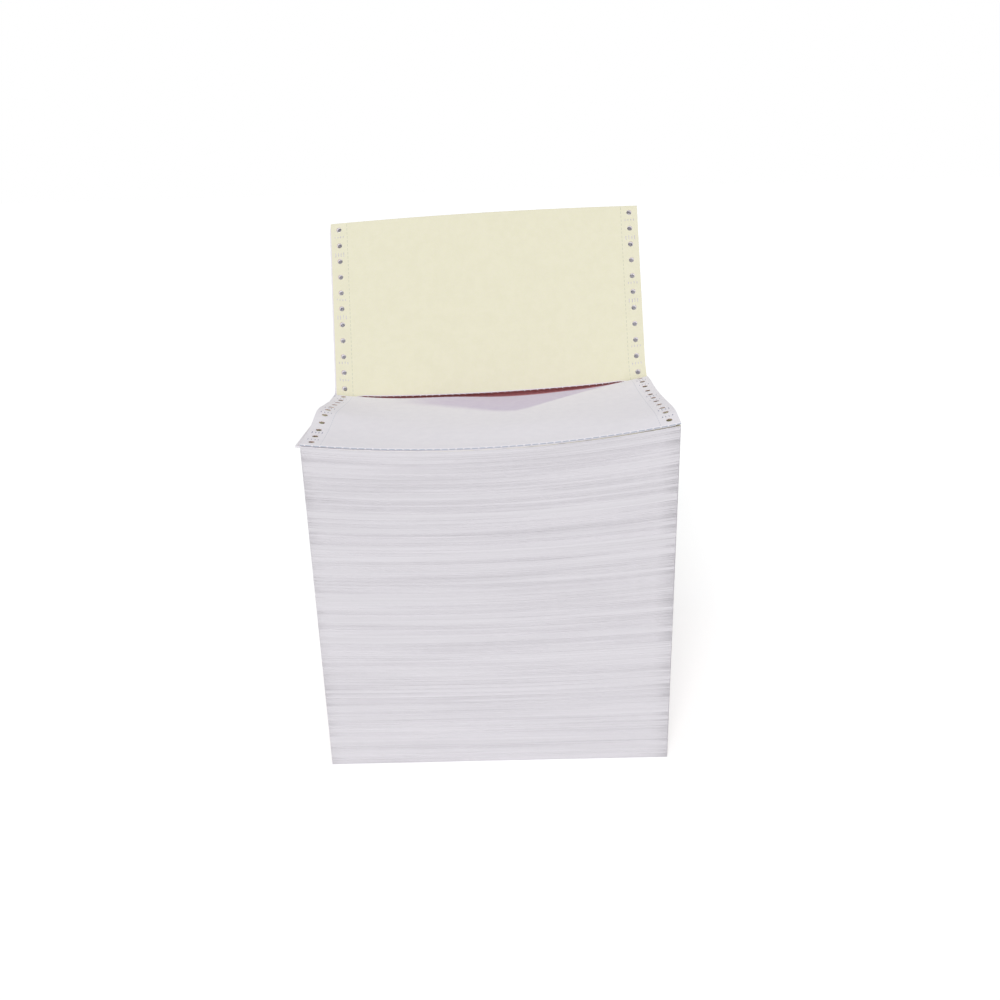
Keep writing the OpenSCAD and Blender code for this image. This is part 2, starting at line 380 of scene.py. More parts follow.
def fold(ply, part, flat):
    """Takes flat points to their place in space: u, s and height over the ply's middle, in mm."""
    flat = np.asarray(flat, float)
    u, s, d = flat[:, 0], flat[:, 1], flat[:, 2] + PLIES[ply] * PLY_STEP
    s = s + SLIDE[ply] * between(s, TOP + 1.5, HEEL - 12, 4, 60)
    stations, places, across = TABLES[ply, part]
    i = np.clip(np.searchsorted(COLUMNS, u, "right") - 1, 0, len(COLUMNS) - 2)
    j = np.clip(np.searchsorted(stations, s, "right") - 1, 0, len(stations) - 2)
    a = ((u - COLUMNS[i]) / (COLUMNS[i + 1] - COLUMNS[i]))[:, None]
    b = ((s - stations[j]) / (stations[j + 1] - stations[j]))[:, None]

    def read(grid):
        return ((1 - a) * (1 - b) * grid[i, j] + a * (1 - b) * grid[i + 1, j]
                + (1 - a) * b * grid[i, j + 1] + a * b * grid[i + 1, j + 1])

    p, n = read(places), read(across)
    n /= np.linalg.norm(n, axis=1, keepdims=True)
    # The raised half page and the one behind it are a little wavy.
    on_page = between(s, FOOT + 8, TOP - 2, 30, 14)
    behind = between(s, TOP + 4, HEEL - 20, 30, 30)
    d = d + 0.35 * page_waves(u, s) * on_page - 0.8 * back_waves(u, s) * behind
    p = p + n * d[:, None]
    # What stands up keeps upright over the slope of the pile. Its plies lie off sideways, its
    # right side flares with its height, and behind the top fold it slips to the left.
    left, right = DRIFT[ply]
    drift = (left + (right - left) * (u / HALF * 0.5 + 0.5)) * between(s, FOOT, TOP, 9, 9)
    tall = np.maximum(0, p[:, 1] - foot_height(u))
    widens = np.clip(2.6 * tall / 130 - 0.9, -0.9, 1.7) * np.clip(tall / 12, 0, 1)
    wide = np.where(u > 0, (u / HALF) ** 2, 0) * widens
    slip = SLIP * np.clip((s - TOP) / PANEL, 0, 1) ** 0.5
    return np.stack([u + drift + wide - slip - tall * SLOPE, p[:, 0], p[:, 1]], 1)


def looking(ply, part, flat):
    """Which way the upper side looks at flat points once folded, from short steps beside them."""
    flat, stations = np.asarray(flat, float), TABLES[ply, part][0]
    to_fold = np.abs((flat[:, 1] / PANEL + 0.5) % 1 - 0.5) * PANEL
    along_step = np.interp(to_fold, [0, 0.6, 4, 9], [0.08, 0.15, 0.8, 1.6])
    steps = []
    for axis, step, low, high in (
            (0, SIDE_STEP, -HALF, HALF), (1, along_step, stations[0], stations[-1])):
        a, b = flat.copy(), flat.copy()
        a[:, axis] = np.maximum(flat[:, axis] - step, low)
        b[:, axis] = np.minimum(flat[:, axis] + step, high)
        steps.append(fold(ply, part, b) - fold(ply, part, a))
    across = np.cross(steps[1], steps[0])
    return across / np.linalg.norm(across, axis=1, keepdims=True)


print({ply: PLIES[ply] * PLY_STEP for ply in PLIES}, "mm beside the middle ply")

# %% [markdown]
# ## The flat ply
# Flat, a ply is a plain thing: a long rectangle with two rows of sprocket holes. The margins
# are cells of half an inch, each a square with a round hole, and the middle is a grid. Close to
# each fold the rows lie closer, because paper turns there within a millimetre. The yellow ply
# is slit along its burst perforation, so its points there are made twice.


# %% Grid and hole cells
HOLE_SIDES, WHOLE_TURN = 24, 2 * math.pi


class Flat:
    """Points and faces of a flat sheet, with shared points found by their place."""

    def __init__(self, slit=None):
        self.points, self.faces, self.found, self.slit = [], [], {}, slit

    def point(self, u, s, side):
        near_slit = self.slit and abs(s - FOOT) < NEAR and abs(u) < self.slit - NEAR
        key = (round(u, 3), round(s, 3), side if near_slit else 0)
        if key not in self.found:
            self.found[key] = len(self.points)
            self.points.append((u, s, side))
        return self.found[key]

    def grid(self, us, ss):
        for s0, s1 in zip(ss, ss[1:]):
            side = 0 if (s0 + s1) / 2 < FOOT else 1
            for u0, u1 in zip(us, us[1:]):
                self.faces.append([self.point(u0, s0, side), self.point(u1, s0, side),
                                   self.point(u1, s1, side), self.point(u0, s1, side)])

    def holed(self, us, ss, cu, cs):
        """A cell of the grid with a round hole, filled with triangles between hole and rim."""
        side, n = (0 if cs < FOOT else 1), HOLE_SIDES
        rim = ([(u, ss[0]) for u in us[:-1]] + [(us[-1], s) for s in ss[:-1]]
               + [(u, ss[-1]) for u in us[:0:-1]] + [(us[0], s) for s in ss[:0:-1]])
        outer = sorted((math.atan2(s - cs, u - cu) % WHOLE_TURN, self.point(u, s, side))
                       for u, s in rim)
        ring = []
        for k in range(n):
            turn = WHOLE_TURN * (k + 0.5) / n
            u, s = cu + HOLE_R * math.cos(turn), cs + HOLE_R * math.sin(turn)
            ring.append((turn, self.point(u, s, side)))
        start = min(range(n), key=lambda k: abs(ring[k][0] - outer[0][0]))
        ring = ring[start:] + [(turn + WHOLE_TURN, v) for turn, v in ring[:start]]
        outer.append((outer[0][0] + WHOLE_TURN, outer[0][1]))
        ring.append((ring[0][0] + WHOLE_TURN, ring[0][1]))
        i = j = 0
        while i < len(outer) - 1 or j < n:
            if j == n or (i < len(outer) - 1 and outer[i + 1][0] <= ring[j + 1][0]):
                self.faces.append([ring[j][1], outer[i][1], outer[i + 1][1]])
                i += 1
            else:
                self.faces.append([ring[j][1], outer[i][1], ring[j + 1][1]])
                j += 1


MIDDLE_U = np.r_[-HALF + STRIP, np.linspace(-SLIT_END, SLIT_END, 25), HALF - STRIP]
MARGIN_U = [np.linspace(-HALF, -HALF + STRIP, 4), np.linspace(HALF - STRIP, HALF, 4)]


def rows_within(rows, a, b):
    return rows[(rows >= a - NEAR) & (rows <= b + NEAR)]


def flat_strip(first, last, slit=None, punch=(0.0, 0.0, 0.0)):
    """The flat ply, where punch says how far off its line the raised half page is punched."""
    flat = Flat(slit)
    rows = np.unique(np.r_[first, rows_within(STATIONS, first, last), last])
    flat.grid(MIDDLE_U, rows)
    for k in range(PANELS):
        start = k * PANEL
        cuts = hole_cuts(start)
        left, right, on = punch if k == RAISED else (0.0, 0.0, 0.0)
        for us, off in zip(MARGIN_U, (left, right)):
            line = math.copysign(HALF - HOLE_IN, us[0] + us[-1])
            for n, (a, b) in enumerate(zip(cuts, cuts[1:])):
                flat.holed(us, rows_within(rows, a, b), line + off, start + (n + 0.5) * PITCH + on)
            for a, b in ((start, cuts[0]), (cuts[-1], start + PANEL)):
                band = rows_within(rows, a, b)
                if len(band) > 1:
                    flat.grid(us, band)
    return flat


print("a flat ply has", len(flat_strip(TORN, END).faces), "faces")


# %% From flat to folded
def border_of(faces):
    """The edges of the faces that no neighbour runs the other way."""
    edges = {(a, b): None for face in faces for a, b in zip(face, face[1:] + face[:1])}
    return [(a, b) for a, b in edges if (b, a) not in edges]


def keep_flat_map(mesh, places):
    """Stores for every corner the flat place, in mm, that its point came from."""
    loops = np.empty(len(mesh.loops), int)
    mesh.loops.foreach_get("vertex_index", loops)
    places = np.asarray(places)[loops]
    mesh.uv_layers.new(name="flat").data.foreach_set("uv", (places * MM).ravel().tolist())
    return loops


def solid_from(name, flat, place, looks, thick):
    """A closed mesh: the sheet's upper side, its lower side and the walls along every edge."""
    n = len(flat.points)
    flat_points = np.array(flat.points)
    upper, lower = place(flat_points, thick / 2), place(flat_points, -thick / 2)
    sides = [face[::-1] for face in flat.faces] + [[v + n for v in face] for face in flat.faces]
    faces = sides + [[a, b, b + n, a + n] for a, b in border_of(flat.faces)]
    mesh = bpy.data.meshes.new(name)
    mesh.from_pydata((np.concatenate([upper, lower]) * MM).tolist(), [], faces)
    loops = keep_flat_map(mesh, np.tile(flat_points[:, :2], (2, 1)))
    mesh.polygons.foreach_set("use_smooth", [True] * len(faces))
    mesh.update()
    upward = looks(flat_points)
    corner_normals = np.concatenate([upward, -upward])[loops]
    first_wall = sum(len(face) for face in sides)
    owner = np.repeat(np.arange(len(faces)), [len(face) for face in faces])
    face_normals = np.empty(3 * len(faces))
    mesh.polygon_normals.foreach_get("vector", face_normals)
    corner_normals[first_wall:] = face_normals.reshape(-1, 3)[owner[first_wall:]]
    mesh.normals_split_custom_set(corner_normals.tolist())
    return add_object(name, mesh)


def for_both_parts(ply, rule):
    """Uses the rule with the front table up to the foot, and with the back table past it."""
    def apply(points, d=0.0):
        flat = np.c_[points[:, :2], np.full(len(points), d)]
        back = points[:, 1] > FOOT + NEAR
        back |= (abs(points[:, 1] - FOOT) < NEAR) & (points[:, 2] == 1)
        out = np.empty((len(points), 3))
        for part, chosen in (("front", ~back), ("back", back)):
            out[chosen] = rule(ply, part, flat[chosen])
        return out
    return apply


def volume(mesh):
    """Cubic centimetres in a closed mesh, and below zero where its faces look inwards."""
    work = bmesh.new()
    work.from_mesh(mesh)
    held = work.calc_volume(signed=True) / (10 * MM) ** 3
    work.free()
    return held


SHEETS = {}
for ply in PLIES:
    strip = flat_strip(TORN, END, SLIT_END if ply == "yellow" else None, PUNCH[ply])
    sheet = solid_from(ply + "_sheet", strip, for_both_parts(ply, fold),
                       for_both_parts(ply, looking), PLY_T)
    SHEETS[ply] = sheet
    print(ply, "ply:", len(sheet.data.polygons), "faces around",
          round(volume(sheet.data), 2), "cm3")

# %% [markdown]
# ## The pile
# The pile is one run of pages folded flat on each other. Its left and right sides show cut
# edges, its front and back show the folds, and its top sags between the thicker margins. Its
# body is made like a very thick ply, with the sprocket holes as shafts, and the folds of its
# pages are added as what they are: hundreds of thin round ridges, one above the other.

# %% Body of the pile
PILE_ROWS, PAGE_CELLS, PAGE = 120, 2 * CELLS, 2 * PANEL
# How far its cut sides and its front and back stay in, so that rows and ridges can stand out.
CUT_IN, FOLD_IN, RIDGE_IN = 0.42, 0.55, 0.42
TOP_SIDE, UNDERSIDE, CUT_SIDES, FRONT_SIDE, BACK_SIDE = range(5)
side_waves = waves(21, 8, 18, 90)
page_shift = np.cumsum(np.random.default_rng(3).normal(0, 1, PILE_ROWS + 1))
page_shift -= np.linspace(page_shift[0], page_shift[-1], PILE_ROWS + 1)
page_shift = 0.3 * page_shift / np.abs(page_shift).max()


def pile_page():
    """One flat page of the pile, with the holes of both its sides."""
    flat = Flat()
    rows = np.unique(np.round(np.concatenate(
        [np.linspace(k * PITCH, (k + 1) * PITCH, 3) for k in range(PAGE_CELLS)]), 4))
    flat.grid(MIDDLE_U[::2], rows)
    for us in MARGIN_U:
        line = math.copysign(HALF - HOLE_IN, us[0] + us[-1])
        for k in range(PAGE_CELLS):
            cell = rows_within(rows, k * PITCH, (k + 1) * PITCH)
            flat.holed(us, cell, line, (k + 0.5) * PITCH)
    return flat


def pile_mesh():
    """The page made as thick as the pile, with its cut sides in rows that shift a little."""
    flat = pile_page()
    u, s = np.array(flat.points)[:, :2].T
    n, depth = len(u), PANEL - FOLD_IN
    y, top = np.clip(s - PANEL, -depth, depth), dish(u)
    verts = np.c_[u, y, top].tolist() + np.c_[u, y, 0 * top].tolist()
    faces = [list(face) for face in flat.faces]
    faces += [[v + n for v in reversed(face)] for face in flat.faces]
    finish = [TOP_SIDE] * len(flat.faces) + [UNDERSIDE] * len(flat.faces)
    level = {}

    def wall_point(v, k):
        if k in (0, PILE_ROWS):
            return v if k else v + n
        if (v, k) not in level:
            level[v, k] = len(verts)
            x, z = u[v], top[v] * k / PILE_ROWS
            if abs(abs(x) - HALF) < NEAR:
                uneven = page_shift[k] + 0.05 * float(side_waves(y[v], z * 2.5))
                x = math.copysign(HALF - CUT_IN, x) + uneven
            verts.append([x, y[v], z])
        return level[v, k]

    for a, b in border_of(flat.faces):
        at_fold = s[a] == s[b] and s[a] in (0, PAGE)
        at_cut = abs(abs(u[a]) - HALF) < NEAR and abs(abs(u[b]) - HALF) < NEAR
        levels = list(range(PILE_ROWS + 1)) if at_fold or at_cut else [0, PILE_ROWS]
        kind = CUT_SIDES
        if at_fold:
            kind = FRONT_SIDE if s[a] == 0 else BACK_SIDE
        for low, high in zip(levels, levels[1:]):
            faces.append([wall_point(b, high), wall_point(a, high),
                          wall_point(a, low), wall_point(b, low)])
            finish.append(kind)
    mesh = bpy.data.meshes.new("form_pile")
    mesh.from_pydata((np.array(verts) * MM).tolist(), [], faces)
    keep_flat_map(mesh, np.array(verts)[:, :2] + (0, PANEL))
    mesh.polygons.foreach_set("material_index", finish)
    mesh.update()
    return add_object("form_pile", mesh)


pile = pile_mesh()
print("the pile's body has", len(pile.data.polygons), "faces around",
      round(volume(pile.data), 1), "cm3")

# %% [markdown]
# ## Paper as a finish
# Form paper is matt and uncoated, but it is never one flat colour. Its fibres clot into a faint
# cloudiness, and single fibres show up close. A picture of paper could give that, but noise
# gives it at any distance and has no edges. What all the papers share is built once, as groups
# of shader nodes, and each ply's material sets its own colour and strength.

# %% Helpers for nodes
def wire(tree, kind, inputs=(), **settings):
    """Adds a node, sets what is given as a number and links what comes from another node."""
    node = tree.nodes.new(kind)
    for key, value in settings.items():
        setattr(node, key, value)
    for key, value in dict(inputs).items():
        if hasattr(value, "is_linked"):
            tree.links.new(value, node.inputs[key])
        else:
            node.inputs[key].default_value = value
    return node


def calc(tree, operation, *values):
    return wire(tree, "ShaderNodeMath", dict(enumerate(values)), operation=operation).outputs[0]


def fade(tree, value, a, b, c=0.0, d=1.0):
    """Goes smoothly from c to d while the value goes from a to b."""
    return wire(tree, "ShaderNodeMapRange", {
        "Value": value, "From Min": a, "From Max": b, "To Min": c, "To Max": d},
        interpolation_type="SMOOTHSTEP").outputs[0]


def tint(tree, share, one, other, kind="MIX"):
    return wire(tree, "ShaderNodeMix", {0: share, 6: one, 7: other}, data_type="RGBA",
                blend_type=kind).outputs[2]


def add_inputs(tree, sockets):
    """Named inputs with their values; gives the identifier of each by its name."""
    ids = {}
    for label, kind, value in sockets:
        socket = tree.interface.new_socket(
            name=label, in_out="INPUT", socket_type="NodeSocket" + kind)
        if value is not None:
            socket.default_value = value
        ids[label] = socket.identifier
    return ids


def shader_group(name, takes, gives):
    tree = bpy.data.node_groups.new(name, "ShaderNodeTree")
    add_inputs(tree, takes)
    for label in gives:
        tree.interface.new_socket(name=label, in_out="OUTPUT", socket_type="NodeSocketFloat")
    return tree, tree.nodes.new("NodeGroupInput").outputs, tree.nodes.new("NodeGroupOutput").inputs


def use(tree, group, **values):
    """Places a group in a tree; a low dash in a name stands for a space."""
    inputs = {label.replace("_", " "): value for label, value in values.items()}
    return wire(tree, "ShaderNodeGroup", inputs, node_tree=group).outputs


def screen(*rgb):
    """A colour as a screen shows it, 0 to 255, as the light that Blender reckons with."""
    v = [c / 255 for c in rgb]
    return tuple(c / 12.92 if c <= 0.04045 else ((c + 0.055) / 1.055) ** 2.4 for c in v) + (1.0,)


def new_material(name):
    """A material, its tree and its main shader."""
    material = bpy.data.materials.new(name)
    material.use_nodes = True
    return material, material.node_tree, material.node_tree.nodes["Principled BSDF"]


def dress(tree, paper, colour, roughness, height, strength=0.3, depth=0.00005, shine=0.3):
    """Gives a paper its colour, its roughness, its relief and its little shine."""
    bump = wire(tree, "ShaderNodeBump", {
        "Strength": strength, "Distance": depth, "Height": height}).outputs[0]
    for label, value in (("Base Color", colour), ("Roughness", roughness), ("Normal", bump)):
        tree.links.new(value, paper.inputs[label])
    paper.inputs["Specular IOR Level"].default_value = shine


def seen_directly(tree):
    """One where the camera sees the surface, in a mirror or through glass too, and else 0."""
    rays = wire(tree, "ShaderNodeLightPath").outputs
    seen = calc(tree, "MAXIMUM", rays["Is Camera Ray"], rays["Is Glossy Ray"])
    return calc(tree, "MAXIMUM", seen, rays["Is Transmission Ray"])


print("a screen grey of 128 is", round(screen(128, 128, 128)[0], 3), "of full light")

# %% [markdown]
# The cloudiness is a noise of some millimetres. The fibres are a second noise, drawn out one way
# and bent by a third, as fibres lie mostly along the paper web. Both come out as plain values
# from 0 to 1, so a material can use them for its colour, its roughness and its bump.

# %% Group: paper grain
def paper_grain():
    tree, a, out = shader_group(
        "paper grain", [("Vector", "Vector", None), ("Seed", "Float", 0.0)],
        ["Cloud", "Fibre", "Height"])
    place = wire(tree, "ShaderNodeVectorMath", {0: a["Vector"], 1: (1000, 1000, 1000)},
                 operation="MULTIPLY").outputs[0]
    cloud = wire(tree, "ShaderNodeTexNoise", {
        "Vector": place, "W": a["Seed"], "Scale": 0.16, "Detail": 5.0, "Roughness": 0.62},
        noise_dimensions="4D").outputs[0]
    swirl = wire(tree, "ShaderNodeTexNoise", {
        "Vector": place, "Scale": 0.8, "Detail": 1.0}).outputs[1]
    drawn = wire(tree, "ShaderNodeVectorMath", {0: place, 1: (3.6, 1.1, 3.6)},
                 operation="MULTIPLY").outputs[0]
    bent = wire(tree, "ShaderNodeVectorMath", {0: drawn, 1: swirl}, operation="ADD").outputs[0]
    fibre = wire(tree, "ShaderNodeTexNoise", {
        "Vector": bent, "W": a["Seed"], "Scale": 1.1, "Detail": 3.0, "Roughness": 0.7},
        noise_dimensions="4D").outputs[0]
    tree.links.new(fade(tree, cloud, 0.32, 0.68), out["Cloud"])
    tree.links.new(fade(tree, fibre, 0.34, 0.66), out["Fibre"])
    height = calc(tree, "MULTIPLY_ADD", fibre, 0.6, calc(tree, "MULTIPLY", cloud, 0.8))
    tree.links.new(height, out["Height"])
    return tree


GRAIN = paper_grain()
print(GRAIN.name, "has", len(GRAIN.nodes), "nodes")

# %% [markdown]
# A perforation is a row of short cuts with small ties between them. Real cuts by the hundred
# would vanish at arm's length, so they are a mask: one where a cut is, and nothing beside it.
# The group needs only the distance from the line and the place along it. The forms have two
# kinds: a fine one that lets the punched margins be torn off, and a coarse one across each fold.

# %% Group: perforation
def perforation():
    tree, a, out = shader_group("perforation", [
        ("Beside", "Float", 0.0), ("Along", "Float", 0.0), ("Pitch", "Float", 0.0016),
        ("Cut", "Float", 0.7), ("Half width", "Float", 0.0001)], ["Mask"])
    beside = calc(tree, "DIVIDE", calc(tree, "ABSOLUTE", a["Beside"]), a["Half width"])
    place = calc(tree, "MULTIPLY", calc(tree, "PINGPONG", calc(
        tree, "DIVIDE", a["Along"], a["Pitch"]), 0.5), 2.0)
    cut = fade(tree, calc(tree, "DIVIDE", place, a["Cut"]), 0.9, 1.1, 1.0, 0.0)
    on_line = fade(tree, beside, 0.6, 1.4, 1.0, 0.0)
    tree.links.new(calc(tree, "MULTIPLY", on_line, cut), out["Mask"])
    return tree


def form_lines():
    """Both kinds of perforation of a form, on its flat map in metres."""
    tree, a, out = shader_group("form lines", [("Flat map", "Vector", None)], ["Margin", "Cross"])
    axes = wire(tree, "ShaderNodeSeparateXYZ", {0: a["Flat map"]}).outputs
    from_margin = calc(tree, "SUBTRACT", calc(tree, "ABSOLUTE", axes[0]), (HALF - STRIP) * MM)
    panel = calc(tree, "SUBTRACT", calc(tree, "FRACT", calc(
        tree, "MULTIPLY_ADD", axes[1], 1 / (PANEL * MM), 0.5)), 0.5)
    from_fold = calc(tree, "MULTIPLY", panel, PANEL * MM)
    margin = use(tree, PERFORATION, Beside=from_margin, Along=axes[1],
                 Pitch=0.0032, Cut=0.62, Half_width=0.00017)
    cross = use(tree, PERFORATION, Beside=from_fold, Along=axes[0],
                Pitch=0.0048, Cut=0.8, Half_width=0.0002)
    tree.links.new(margin["Mask"], out["Margin"])
    tree.links.new(cross["Mask"], out["Cross"])
    return tree


PERFORATION = perforation()
FORM_LINES = form_lines()
print(FORM_LINES.name, "uses", PERFORATION.name, "twice")

# %% [markdown]
# ## The three plies
# White on top, pink in the middle and pale yellow below: each ply is coloured right through. The
# patterns read the flat map that each ply carries, so they turn round every fold with the paper.
# The cuts of the perforations get painted shade, darker and bluer than the paper, and lie a
# little deeper. Where a perforation has burst, the broken fibres at the edge are paler than the
# paper. By its torn edge, up to the soft crease, the white ply gets painted shade with a lilac
# tint. Two values at each corner of its faces say where: how far inside the crease, and how much
# it counts.

# %% Where the white ply gets painted lilac shade
def show_through(u, s):
    """How far inside the soft crease a place lies, in widths of its blur, and what it counts."""
    soft = np.interp(u, [-60, -15, 20, 50], [18, 16, 8, 3])
    inside = (ease(CREASE, u) - (s - TORN)) / soft + 0.3
    return inside, between(u, -82, 98, 50, 12) * (s < FRONT)


white_mesh = SHEETS["white"].data
flat_map = np.empty(2 * len(white_mesh.loops))
white_mesh.uv_layers["flat"].data.foreach_get("uv", flat_map)
flat_map = flat_map.reshape(-1, 2) / MM
inside, counts = show_through(flat_map[:, 0], flat_map[:, 1])
# Where the white ply gets painted lilac shade, and how much.
for layer_name, values in (("crease_side", inside), ("show_through", counts)):
    layer = white_mesh.attributes.new(layer_name, "FLOAT", "CORNER")
    layer.data.foreach_set("value", values.astype(np.float32))
print("most painted-lilac-shade:", round(float((smooth(inside) * counts).max()), 2))


# %% Material of a ply
# Painted shade in the cuts of the perforations: a share of the ply's second colour, darker and
# bluer.
CUT_SHADE = (0.36, 0.46, 0.56)


def ply_paper(name, colour, shade, fibres, torn_at, seed, behind=None):
    """A ply's paper, torn at a station, with the colour of its painted lilac shade, if any."""
    material, tree, paper = new_material(name)
    flat = wire(tree, "ShaderNodeUVMap", uv_map="flat").outputs[0]
    grain = use(tree, GRAIN, Vector=flat, Seed=seed)
    lines = use(tree, FORM_LINES, Flat_map=flat)
    axes = wire(tree, "ShaderNodeSeparateXYZ", {0: flat}).outputs
    clouded = tint(tree, calc(tree, "MULTIPLY", grain["Cloud"], 0.6), colour, shade)
    fibred = tint(tree, calc(tree, "MULTIPLY", grain["Fibre"], 0.2), clouded, fibres)
    beside = calc(tree, "ABSOLUTE", calc(tree, "SUBTRACT", axes[1], torn_at * MM))
    edge = fade(tree, beside, 0.0005, 0.0009, 1.0, 0.0)
    inwards = fade(tree, calc(tree, "ABSOLUTE", axes[0]),
                   (SLIT_END - 4) * MM, SLIT_END * MM, 1.0, 0.0)
    seen = tint(tree, calc(tree, "MULTIPLY", edge, inwards), fibred, fibres)
    # The colour given as behind is painted shade, lilac, from the torn edge up to the soft crease.
    if behind:
        side, counts = (wire(tree, "ShaderNodeAttribute", attribute_name=label).outputs["Fac"]
                        for label in ("crease_side", "show_through"))
        thin = calc(tree, "MULTIPLY", counts, fade(tree, side, 0, 1))
        clouds = calc(tree, "MULTIPLY_ADD", grain["Cloud"], 0.15, 0.85)
        seen = tint(tree, calc(tree, "MULTIPLY", thin, clouds), seen, behind)
    # The cuts get painted shade, and their bump lies a little deeper.
    cuts = calc(tree, "MAXIMUM", calc(tree, "MULTIPLY", lines["Margin"], 0.6), lines["Cross"])
    painted_cut_shade = tuple(part * share for part, share in zip(CUT_SHADE, shade)) + (1.0,)
    dress(tree, paper, tint(tree, calc(tree, "MULTIPLY", cuts, 0.7), seen, painted_cut_shade),
          fade(tree, grain["Fibre"], 0, 1, 0.78, 0.9),
          calc(tree, "MULTIPLY_ADD", cuts, -1.5, grain["Height"]), 0.4, 0.00006)
    return material


WHITE, YELLOW, PINK = screen(240, 237, 242), screen(235, 232, 203), screen(216, 140, 144)
PAPERS = {
    # The white ply's last colour is its painted lilac shade by the torn edge.
    "white": ply_paper("white_paper", WHITE, screen(234, 231, 237), screen(246, 243, 248),
                       TORN, 1.0, behind=screen(215, 205, 223)),
    "pink": ply_paper("pink_paper", PINK, screen(212, 136, 141), screen(228, 168, 172), TORN, 2.0),
    "yellow": ply_paper("yellow_paper", YELLOW, screen(230, 227, 196), screen(240, 229, 240),
                        FOOT, 3.0),
}
for ply, sheet in SHEETS.items():
    sheet.data.materials.append(PAPERS[ply])
print("papers:", ", ".join(m.name for m in PAPERS.values()))

# %% [markdown]
# ## Edges of the pile
# Seen from its left or right, the pile shows cut edges: white, pink, yellow, and then back to
# white for the page that lies the other way up. Its front shows white folds and its back yellow
# ones. Where one page meets the next, the stripes turn grey: painted shade of the thin gaps. The
# height of a point, as a share of the height of the dished top above it, tells which page it is
# in. A random number for each page and a slow noise over bundles of pages keep the stripes from
# looking printed.

# %% Group: page edges
FOLDS = 545


def page_edges():
    tree, a, out = shader_group(
        "page edges", [("Vector", "Vector", None), ("Pages", "Float", float(FOLDS))],
        ["Within", "Chance", "Bundle"])
    axes = wire(tree, "ShaderNodeSeparateXYZ", {0: a["Vector"]}).outputs
    across = calc(tree, "DIVIDE", axes[0], HALF * MM)
    bowed = calc(tree, "SUBTRACT", 1.0, calc(tree, "MULTIPLY", across, across))
    middle = calc(tree, "ADD", calc(tree, "MULTIPLY", bowed, -SAG * MM), PILE_H * MM)
    top = calc(tree, "MULTIPLY_ADD", axes[0], SLOPE, middle)
    level = calc(tree, "MULTIPLY", calc(tree, "DIVIDE", axes[2], top), a["Pages"])
    chance = wire(tree, "ShaderNodeTexWhiteNoise", {"W": calc(tree, "FLOOR", level)},
                  noise_dimensions="1D")
    slow = wire(tree, "ShaderNodeVectorMath", {0: a["Vector"], 1: (5.0, 5.0, 0.0)},
                operation="MULTIPLY").outputs[0]
    bundle = wire(tree, "ShaderNodeTexNoise", {
        "Vector": slow, "W": calc(tree, "MULTIPLY", level, 0.13), "Scale": 1.0, "Detail": 5.0,
        "Roughness": 0.7}, noise_dimensions="4D").outputs[0]
    tree.links.new(calc(tree, "FRACT", level), out["Within"])
    tree.links.new(chance.outputs[0], out["Chance"])
    tree.links.new(fade(tree, bundle, 0.3, 0.7), out["Bundle"])
    return tree


PAGE_EDGES = page_edges()
print(PAGE_EDGES.name, "has", len(PAGE_EDGES.nodes), "nodes")


# %% Materials of the pile's sides
def edge_paper(name, stripes, dark, seed):
    """The sides of pages: stripes say, for each page from below, where which colour stands."""
    material, tree, paper = new_material(name)
    where = wire(tree, "ShaderNodeTexCoord").outputs["Object"]
    pages = use(tree, PAGE_EDGES, Vector=where, Pages=float(FOLDS))
    grain = use(tree, GRAIN, Vector=where, Seed=seed)
    ramp = wire(tree, "ShaderNodeValToRGB", {0: pages["Within"]})
    while len(ramp.color_ramp.elements) < len(stripes):
        ramp.color_ramp.elements.new(0.5)
    for element, (position, colour) in zip(ramp.color_ramp.elements, stripes):
        element.position, element.color = position, colour
    tone = calc(tree, "MULTIPLY_ADD", pages["Chance"], 0.35,
                calc(tree, "MULTIPLY", pages["Bundle"], 0.65))
    relief = calc(tree, "MULTIPLY_ADD", pages["Within"], 0.5, calc(
        tree, "MULTIPLY_ADD", grain["Height"], 0.4, pages["Chance"]))
    dress(tree, paper, tint(tree, calc(tree, "SUBTRACT", 1.0, tone), ramp.outputs[0],
                            (dark, dark, dark, 1), "MULTIPLY"),
          fade(tree, pages["Chance"], 0, 1, 0.8, 0.95), relief, 0.35, 0.0001, 0.25)
    return material


# The stripes of one fold, with painted shade where it meets the next.
def fold_stripes(gap_shade, colour):
    return [(0.0, gap_shade), (0.2, colour), (0.8, colour), (1.0, gap_shade)]


# Painted shade of the thin gaps where one page meets the next.
PAGE_GAP_SHADE = screen(206, 202, 205)
CUT_EDGES = edge_paper("cut_edges", [
    (0.0, PAGE_GAP_SHADE), (0.08, WHITE), (0.25, WHITE), (0.33, PINK), (0.42, YELLOW), (0.58, YELLOW),
    (0.67, PINK), (0.75, WHITE), (0.92, WHITE), (1.0, PAGE_GAP_SHADE)], 0.8, 4.0)
WHITE_FOLDS = edge_paper("white_folds", fold_stripes(PAGE_GAP_SHADE, WHITE), 0.88, 5.0)
# The yellow folds' first colour is painted shade between them.
YELLOW_FOLDS = edge_paper(
    "yellow_folds", fold_stripes(screen(204, 196, 172), YELLOW), 0.88, 6.0)
# In the order of the numbers TOP_SIDE to BACK_SIDE.
for finish in (PAPERS["yellow"], PAPERS["white"], CUT_EDGES, WHITE_FOLDS, YELLOW_FOLDS):
    pile.data.materials.append(finish)
print("the pile's sides:", [m.name for m in pile.data.materials])

# %% [markdown]
# ## Geometry Nodes for what repeats
# Page folds, crimp marks and the nibs of a torn perforation all repeat one small shape many
# times. Copying meshes in a loop would do it, but a node tree keeps the rule itself: a line of
# points, one copy on each, a little seeded unevenness, and at the end real faces, because an
# export drops copies that are only references.


